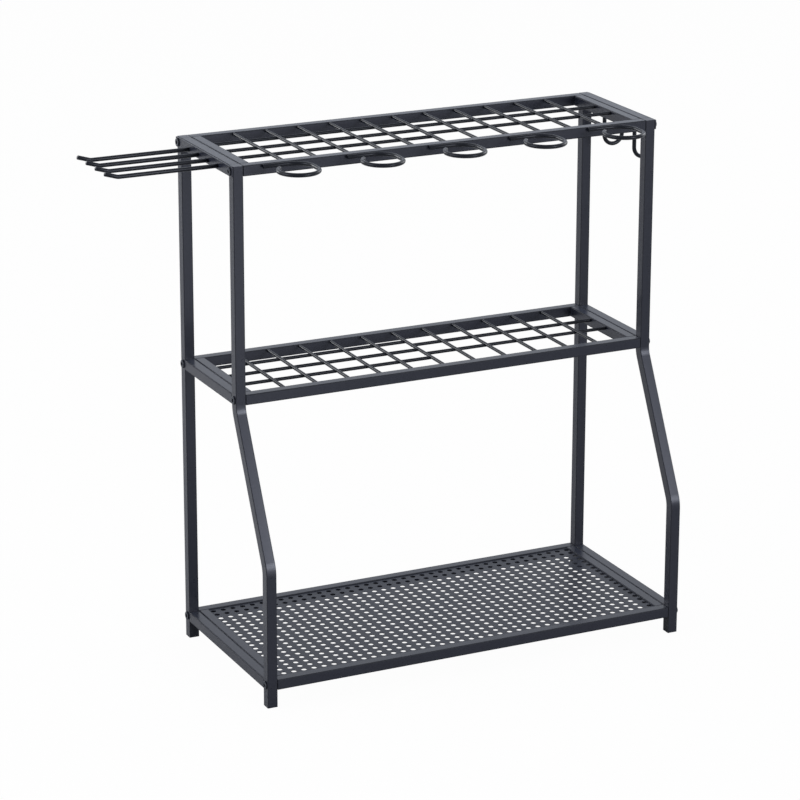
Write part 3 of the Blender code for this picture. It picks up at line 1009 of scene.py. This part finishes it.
class RACK_OT_shelf(bpy.types.Operator):
    """Perforated shelf of the lowest tier"""

    bl_idname = "rack.shelf"
    bl_label = "Perforated shelf"

    def execute(self, context):
        sizes = context.scene.rack_sizes
        node = "bottom_perforated_panel"
        low, high = (Vector(corner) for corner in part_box(node))
        middle = (low + high) / 2
        reach_x = sizes.holes_x * sizes.hole_pitch_x / 2
        reach_y = sizes.holes_y * sizes.hole_pitch_y / 2
        cell = Vector((
            middle.x - reach_x + sizes.hole_pitch_x / 2,
            middle.y - reach_y + sizes.hole_pitch_y / 2,
            high.z,
        ))
        shelf = begin_circle(f"fine_{node}", cell, Z, sizes.hole / 2, HOLE_SIDES)
        pull((0.0, 0.0, 0.0))
        self.square_up(shelf, cell, sizes)
        deselect_all()
        for count, step in (
            (sizes.holes_x, (sizes.hole_pitch_x, 0.0, 0.0)),
            (sizes.holes_y, (0.0, sizes.hole_pitch_y, 0.0)),
        ):
            row_of(shelf, count, step, use_merge_vertices=True, merge_threshold=CELL_MERGE)
        self.reach_edges(shelf, low, high, middle, reach_x, reach_y)
        deselect_all()
        apply_modifier(shelf, "SOLIDIFY", thickness=high.z - low.z, offset=-1.0)
        smooth(shelf)
        self.set_top(shelf, high.z)
        settle(shelf, "panel_coat", node)
        return {"FINISHED"}

    def square_up(self, shelf, centre, sizes):
        """Move the outer ring of one hole's cell onto the cell's square outline."""
        shape = bmesh.from_edit_mesh(shelf.data)
        for vert in shape.verts:
            if vert.select:
                out = vert.co - centre
                stretch = 0.5 / max(abs(out.x), abs(out.y))
                vert.co.x = centre.x + out.x * stretch * sizes.hole_pitch_x
                vert.co.y = centre.y + out.y * stretch * sizes.hole_pitch_y
        bmesh.update_edit_mesh(shelf.data)

    def reach_edges(self, shelf, low, high, middle, reach_x, reach_y):
        """Carry the plain border out to the rails."""
        activate(shelf)
        bpy.ops.object.mode_set(mode="EDIT")
        for axis, reach, step in (
            (X, reach_x, high.x - middle.x - reach_x),
            (Y, reach_y, high.y - middle.y - reach_y),
        ):
            for sign in (-1, 1):
                limit = middle[axis] + sign * reach
                choose(shelf, "EDGE", at_level(axis, limit, EDGE_REACH))
                move = Vector((0.0, 0.0, 0.0))
                move[axis] = sign * step
                pull(move)

    def set_top(self, shelf, top):
        """Put the sheet's upper face at the node's height, whichever way it was thickened."""
        highest = max(vert.co.z for vert in shelf.data.vertices)
        activate(shelf)
        bpy.ops.transform.translate(value=(0.0, 0.0, top - highest))
        bpy.ops.object.transform_apply(location=True, rotation=False, scale=False)


class RACK_OT_hook_bars(bpy.types.Operator):
    """Flat bars bolted to both ends"""

    bl_idname = "rack.hook_bars"
    bl_label = "Hook bars"

    def execute(self, context):
        sizes = context.scene.rack_sizes
        node = "left_hook_bar"
        size = size_of(node)
        bar = begin_block(node, size, middle_of(node))
        choose_long_edges(bar, X, size)
        round_off(sizes.bar_corner, BAR_SEGMENTS)
        choose(bar, "EDGE", lambda edge: edge.calc_face_angle(0.0) > SHARP_TURN)
        round_off(FINE_RIM, RIM_SEGMENTS)
        smooth(bar, weighted=True)
        mark_corners(bar, [X])
        settle_copies(bar, node, ["right_hook_bar"], "bar_coat")
        return {"FINISHED"}


def wire_start(node, root, run, sizes):
    """Section of a node's wire at its root, ready to be drawn out."""
    return begin_circle(f"fine_{node}", root, run, sizes.wire / 2, WIRE_SIDES)


def wire_finish(piece):
    """Close a wire's ends and smooth it."""
    close_up(piece, WIRE_END)
    smooth(piece)


class RACK_OT_straight_hooks(bpy.types.Operator):
    """Four straight hooks with raised tips on the left bar"""

    bl_idname = "rack.straight_hooks"
    bl_label = "Straight hooks"

    def execute(self, context):
        sizes = context.scene.rack_sizes
        node = "straight_hook_1"
        low, high = (Vector(corner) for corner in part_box(node))
        angle = sizes.hook_tip_angle
        radius = sizes.hook_tip_radius
        tip = sizes.hook_tip_length
        end_lean = sizes.wire / 2 * math.sin(angle)
        level = high.x - low.x - radius * math.sin(angle) - tip * math.cos(angle) - end_lean
        root = Vector((high.x, (low.y + high.y) / 2, low.z + sizes.wire / 2))
        hook = wire_start(node, root, X, sizes)
        pull((-level, 0.0, 0.0))
        centre = root + Vector((-level, 0.0, radius))
        sweep(centre, (0, 1, 0), angle, TIP_BEND_STEPS)
        pull((-tip * math.cos(angle), 0.0, tip * math.sin(angle)))
        wire_finish(hook)
        others = [f"straight_hook_{number}" for number in (2, 3, 4)]
        settle_copies(hook, node, others, "wire_coat")
        return {"FINISHED"}


class RACK_OT_u_hooks(bpy.types.Operator):
    """Two U hooks on the right bar"""

    bl_idname = "rack.u_hooks"
    bl_label = "U hooks"

    def execute(self, context):
        sizes = context.scene.rack_sizes
        node = "u_hook_front"
        low, high = (Vector(corner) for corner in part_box(node))
        radius = sizes.u_hook_radius
        root = Vector((low.x + sizes.wire / 2, (low.y + high.y) / 2, high.z))
        turn_z = low.z + sizes.wire / 2 + radius
        hook = wire_start(node, root, Z, sizes)
        pull((0.0, 0.0, turn_z - root.z))
        sweep((root.x + radius, root.y, turn_z), (0, 1, 0), -math.pi, U_BEND_STEPS)
        pull((0.0, 0.0, sizes.u_hook_rise - radius))
        wire_finish(hook)
        settle_copies(hook, node, ["u_hook_rear"], "wire_coat")
        return {"FINISHED"}


class RACK_OT_tool_rings(bpy.types.Operator):
    """Five open rings on the top tier's front rail"""

    bl_idname = "rack.tool_rings"
    bl_label = "Tool rings"

    def execute(self, context):
        sizes = context.scene.rack_sizes
        node = "tool_ring_1"
        low, high = (Vector(corner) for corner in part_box(node))
        half = sizes.wire / 2
        radius = sizes.ring_radius
        neck = sizes.ring_neck
        face_y = high.y
        ring_y = face_y - sizes.ring_out
        right = high.x - half
        tail_end = right - neck
        root = Vector((low.x, face_y - half, (low.z + high.z) / 2))
        ring = wire_start(node, root, X, sizes)
        pull((tail_end - root.x, 0.0, 0.0))
        sweep((tail_end, root.y - neck, root.z), (0, 0, 1), -math.pi / 2, NECK_STEPS)
        pull((0.0, ring_y - (root.y - neck), 0.0))
        sweep((right - radius, ring_y, root.z), (0, 0, 1), -sizes.ring_turn, RING_STEPS)
        wire_finish(ring)
        others = [f"tool_ring_{number}" for number in (2, 3, 4, 5)]
        settle_copies(ring, node, others, "wire_coat")
        return {"FINISHED"}


class RACK_OT_bolts(bpy.types.Operator):
    """Twelve socket bolts through the legs"""

    bl_idname = "rack.bolts"
    bl_label = "Bolts"

    def execute(self, context):
        sizes = context.scene.rack_sizes
        for side, direction in (("left", -1.0), ("right", 1.0)):
            node = f"bolt_middle_{side}_front"
            bolt = self.bolt(node, direction, sizes)
            nodes = [f"bolt_{tier}_{side}_{end}" for tier in TIERS for end in ("front", "rear")]
            others = [other for other in nodes if other != node]
            settle_copies(bolt, node, others, "bolt_steel")
        return {"FINISHED"}

    def bolt(self, node, direction, sizes):
        """Flat head with a turned rim and a hexagon socket, on its shank."""
        low, high = (Vector(corner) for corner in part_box(node))
        middle = (low + high) / 2
        shank_end, outer = (low.x, high.x) if direction > 0 else (high.x, low.x)
        head = high.y - low.y
        shank_root = (shank_end, middle.y, middle.z)
        bolt = begin_circle(f"fine_{node}", shank_root, X, SHANK_RADIUS, BOLT_SIDES)
        seat = outer - direction * HEAD_HEIGHT
        pull((seat - shank_end, 0.0, 0.0))
        radius = SHANK_RADIUS
        reached = seat
        for height, inset in HEAD_PROFILE:
            level = seat + direction * height
            pull((level - reached, 0.0, 0.0))
            width = head / 2 - inset
            share = width / radius
            swell((level, middle.y, middle.z), (1.0, share, share))
            reached = level
            radius = width
        close_up(bolt)
        bpy.ops.mesh.normals_make_consistent(inside=False)
        self.socket(bolt, outer, middle, sizes)
        smooth(bolt, sharp=JOINED_SHARP, weighted=True)
        # Painted shade goes on every face but the head's face: flanks, seat and socket
        mark(bolt, lambda face: abs(face.center.x - outer) > FINE_RIM)
        return bolt

    def socket(self, bolt, outer, middle, sizes):
        """Cut the hexagon socket."""
        cutter = begin(
            "socket_cutter",
            bpy.ops.mesh.primitive_cylinder_add,
            vertices=6,
            radius=sizes.socket / 2,
            depth=2 * sizes.socket_depth,
            location=(outer, middle.y, middle.z),
            rotation=FACING[X],
        )
        apply_modifier(bolt, "BOOLEAN", operation="DIFFERENCE", solver="EXACT", object=cutter)
        bpy.data.objects.remove(cutter, do_unlink=True)


class RACK_OT_welds(bpy.types.Operator):
    """Weld beads in the inner corners of the frames and on the U hooks and rings"""

    bl_idname = "rack.welds"
    bl_label = "Weld beads"

    def execute(self, context):
        sizes = context.scene.rack_sizes
        for tier in TIERS:
            self.tier_welds(tier, sizes)
        for side in SIDES:
            self.end_frame_welds(side, sizes)
        self.ring_welds(sizes)
        self.hook_welds(sizes)
        return {"FINISHED"}

    def bead(self, name, start, end, run, thickness):
        """Rippled run of weld from one point to another along an axis."""
        span = Vector(end) - Vector(start)
        count = max(FEWEST_RIPPLES, round(span.length / RIPPLE))
        step = span / count
        bead = begin_circle(name, start, run, thickness / 2, BEAD_SIDES)
        centre = Vector(start)
        width = BEAD_END
        swell(centre, (width, width, width))
        widths = [1.0 if number % 2 else BEAD_TROUGH for number in range(1, count)]
        for target in widths + [BEAD_END]:
            pull(step)
            centre = centre + step
            share = target / width
            swell(centre, (share, share, share))
            width = target
        close_up(bead)
        smooth(bead, sharp=BEAD_SHARP)
        return bead

    def tier_welds(self, tier, sizes):
        """Upright beads where the end rails meet the long rails."""
        left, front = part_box(f"{tier}_left_end_rail"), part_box(f"{tier}_front_rail")
        right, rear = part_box(f"{tier}_right_end_rail"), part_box(f"{tier}_rear_rail")
        low = front[0][Z] + sizes.tube_corner
        high = front[1][Z] - sizes.long_rod_drop - sizes.rod
        beads = []
        for x in (left[1][X], right[0][X]):
            for y in (front[1][Y], rear[0][Y]):
                beads.append(self.bead(f"{tier}_bead", (x, y, low), (x, y, high), Z, sizes.weld))
        settle(merge_pieces(f"{tier}_frame_welds", beads), "tube_coat")

    def end_frame_welds(self, side, sizes):
        """Beads under the cross rails, on the inner faces of the legs."""
        margin = sizes.tube_corner * END_BEAD_MARGIN
        beads = []
        for tier in TIERS:
            low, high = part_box(f"{side}_{tier}_cross_rail")
            for y in (low[Y], high[Y]):
                start = (low[X] + margin, y, low[Z])
                end = (high[X] - margin, y, low[Z])
                beads.append(self.bead(f"{side}_bead", start, end, X, sizes.weld))
        settle(merge_pieces(f"{side}_end_frame_welds", beads), "tube_coat")

    def ring_welds(self, sizes):
        """Two short beads under each ring's tail."""
        beads = []
        for number in range(1, 6):
            low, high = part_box(f"tool_ring_{number}")
            y = high[Y]
            z = low[Z] + sizes.wire * RING_BEAD_RISE
            for offset in RING_BEAD_STARTS:
                start = (low[X] + offset, y, z)
                end = (low[X] + offset + RING_BEAD, y, z)
                beads.append(self.bead("ring_bead", start, end, X, sizes.weld))
        settle(merge_pieces("ring_welds", beads), "wire_coat")

    def hook_welds(self, sizes):
        """Beads on both sides of each U hook's wire, up the right bar's face."""
        tuck = sizes.wire * HOOK_BEAD_TUCK
        beads = []
        for node in ("u_hook_front", "u_hook_rear"):
            low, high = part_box(node)
            bar_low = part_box("right_hook_bar")[0][Z]
            for y in (low[Y] + tuck, high[Y] - tuck):
                start = (low[X], y, bar_low + HOOK_BEAD_FOOT)
                end = (low[X], y, high[Z] - HOOK_BEAD_HEAD)
                beads.append(self.bead("hook_bead", start, end, Z, sizes.weld))
        settle(merge_pieces("hook_welds", beads), "wire_coat")


class RACK_OT_stage(bpy.types.Operator):
    """Pale floor, soft light and the camera"""

    bl_idname = "rack.stage"
    bl_label = "Stage"

    def execute(self, context):
        self.floor()
        self.world(context)
        self.lamps()
        self.camera(context)
        return {"FINISHED"}

    def floor(self):
        """Wide pale floor that keeps the object's shadow and reads as white."""
        deselect_all()
        bpy.ops.mesh.primitive_plane_add(size=FLOOR_SIDE, location=(0.0, 0.0, 0.0))
        floor = bpy.context.active_object
        floor.name = "floor"
        material, graph, shader = new_material("pale_floor")
        shader.inputs["Base Color"].default_value = FLOOR_GREY
        shader.inputs["Roughness"].default_value = 0.8
        seen = graph.add("ShaderNodeLightPath", {}, {}, "Is Camera Ray")
        white = graph.add("ShaderNodeEmission", {}, {"Color": WHITE, "Strength": 1.0})
        lit = Value(graph, shader.outputs["BSDF"])
        mixed = graph.add("ShaderNodeMixShader", {}, {0: seen * FLOOR_WHITE, 1: lit, 2: white})
        output = material.node_tree.nodes["Material Output"]
        graph.feed(output.inputs["Surface"], mixed)
        floor.data.materials.append(material)

    def world(self, context):
        """Soft cool sky, white to the camera and at full strength in reflections."""
        world = bpy.data.worlds.new("studio")
        context.scene.world = world
        world.use_nodes = True
        graph = Graph(world.node_tree)
        seen = graph.add("ShaderNodeLightPath", {}, {}, "Is Camera Ray")
        glossy = graph.add("ShaderNodeLightPath", {}, {}, "Is Glossy Ray")
        background = world.node_tree.nodes["Background"]
        graph.feed(background.inputs["Color"], graph.blend(seen, COOL_SKY, WHITE))
        graph.feed(background.inputs["Strength"], SKY_LIGHT + (seen + glossy) * (1.0 - SKY_LIGHT))

    def lamps(self):
        """Large soft lamps on all four sides and a small one near the floor in front."""
        for name, place, power, width, height in LAMPS:
            deselect_all()
            aim = (Vector(LAMP_AIM) - Vector(place)).to_track_quat("-Z", "Y")
            bpy.ops.object.light_add(type="AREA", location=place, rotation=aim.to_euler())
            lamp = bpy.context.active_object
            lamp.name = name
            lamp.data.shape = "RECTANGLE"
            lamp.data.energy = power
            lamp.data.size = width
            lamp.data.size_y = height

    def camera(self, context):
        """Long lens from the front left, looking slightly down."""
        azimuth, elevation, roll = (math.radians(angle) for angle in CAMERA_TURN)
        turn = (
            Matrix.Rotation(azimuth, 4, "Z")
            @ Matrix.Rotation(math.radians(90.0) - elevation, 4, "X")
            @ Matrix.Rotation(roll, 4, "Z")
        )
        deselect_all()
        bpy.ops.object.camera_add()
        camera = bpy.context.active_object
        camera.name = "camera"
        camera.matrix_world = Matrix.Translation(CAMERA_PLACE) @ turn
        camera.data.sensor_width = SENSOR_MM
        camera.data.lens = LENS_MM
        camera.data.shift_y = LENS_SHIFT
        context.scene.camera = camera
        context.scene.view_settings.view_transform = "Standard"


STEPS = (
    "stage",
    "end_frames",
    "tier_frames",
    "wire_grids",
    "shelf",
    "hook_bars",
    "straight_hooks",
    "u_hooks",
    "tool_rings",
    "bolts",
    "welds",
)


class RACK_PT_panel(bpy.types.Panel):
    """The rack's steps in order"""

    bl_idname = "RACK_PT_panel"
    bl_label = "Tool Storage Rack"
    bl_space_type = "VIEW_3D"
    bl_region_type = "UI"
    bl_category = "Rack"

    def draw(self, context):
        for step in STEPS:
            self.layout.operator(f"rack.{step}")


CLASSES = (
    RackSizes,
    RackFinishes,
    RACK_OT_stage,
    RACK_OT_end_frames,
    RACK_OT_tier_frames,
    RACK_OT_wire_grids,
    RACK_OT_shelf,
    RACK_OT_hook_bars,
    RACK_OT_straight_hooks,
    RACK_OT_u_hooks,
    RACK_OT_tool_rings,
    RACK_OT_bolts,
    RACK_OT_welds,
    RACK_PT_panel,
)


def register():
    for item in CLASSES:
        bpy.utils.register_class(item)
    bpy.types.Scene.rack_sizes = PointerProperty(type=RackSizes)
    bpy.types.Scene.rack_finishes = PointerProperty(type=RackFinishes)


def unregister():
    del bpy.types.Scene.rack_finishes
    del bpy.types.Scene.rack_sizes
    for item in reversed(CLASSES):
        bpy.utils.unregister_class(item)


def main():
    register()
    for step in STEPS:
        getattr(bpy.ops.rack, step)()


if __name__ == "__main__":
    main()
